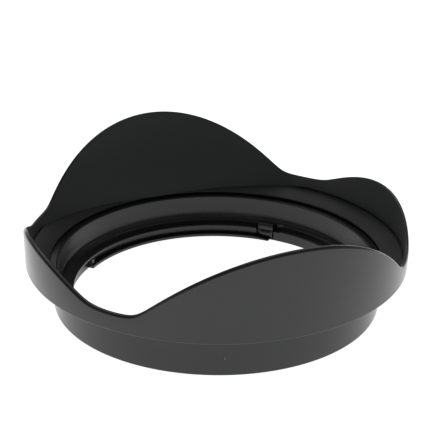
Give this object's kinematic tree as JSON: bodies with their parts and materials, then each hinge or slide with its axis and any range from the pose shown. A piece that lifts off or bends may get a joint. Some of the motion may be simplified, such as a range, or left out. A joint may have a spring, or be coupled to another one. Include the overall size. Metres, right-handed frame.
{
  "type": "lens hood",
  "caption": "Tulip lens hood: wavy petal shroud on a stepped collar, sloping inner floor and funnel, and a bayonet ring with sprung lock tongues.",
  "frame": {"origin": "centre of the collar's rear face, on the hood's axis", "axes": "+Z along the hood's axis, from the lens towards the subject; the long petals are on +Y and -Y, the short petals on +X and -X"},
  "size_m": [0.1154, 0.116, 0.0403],
  "materials": {
    "satin_black_abs": "satin moulded surface",
    "matt_black_abs": "matt moulded surface",
    "grey_paint": "matt paint fill"
  },
  "bodies": {
    "hood": {"petal_shroud": "satin_black_abs", "mount_collar": "satin_black_abs", "baffle_ring": "matt_black_abs", "bayonet_ring": "matt_black_abs", "index_mark": "grey_paint"},
    "tongue_a": {"lock_tongue_a": "matt_black_abs"},
    "tongue_b": {"lock_tongue_b": "matt_black_abs"}
  },
  "joints": [
    {"name": "tongue_a_flex", "type": "hinge", "parent": "hood", "child": "tongue_a", "pos_m": [0.03133, 0.03216, 0.0009], "axis": [-0.7163, 0.6978, 0], "range_deg": [0, 8], "stiffness_Nm_per_rad": 0.02},
    {"name": "tongue_b_flex", "type": "hinge", "parent": "hood", "child": "tongue_b", "pos_m": [-0.03133, -0.03216, 0.0009], "axis": [0.7163, -0.6978, 0], "range_deg": [0, 8], "stiffness_Nm_per_rad": 0.02}
  ]
}
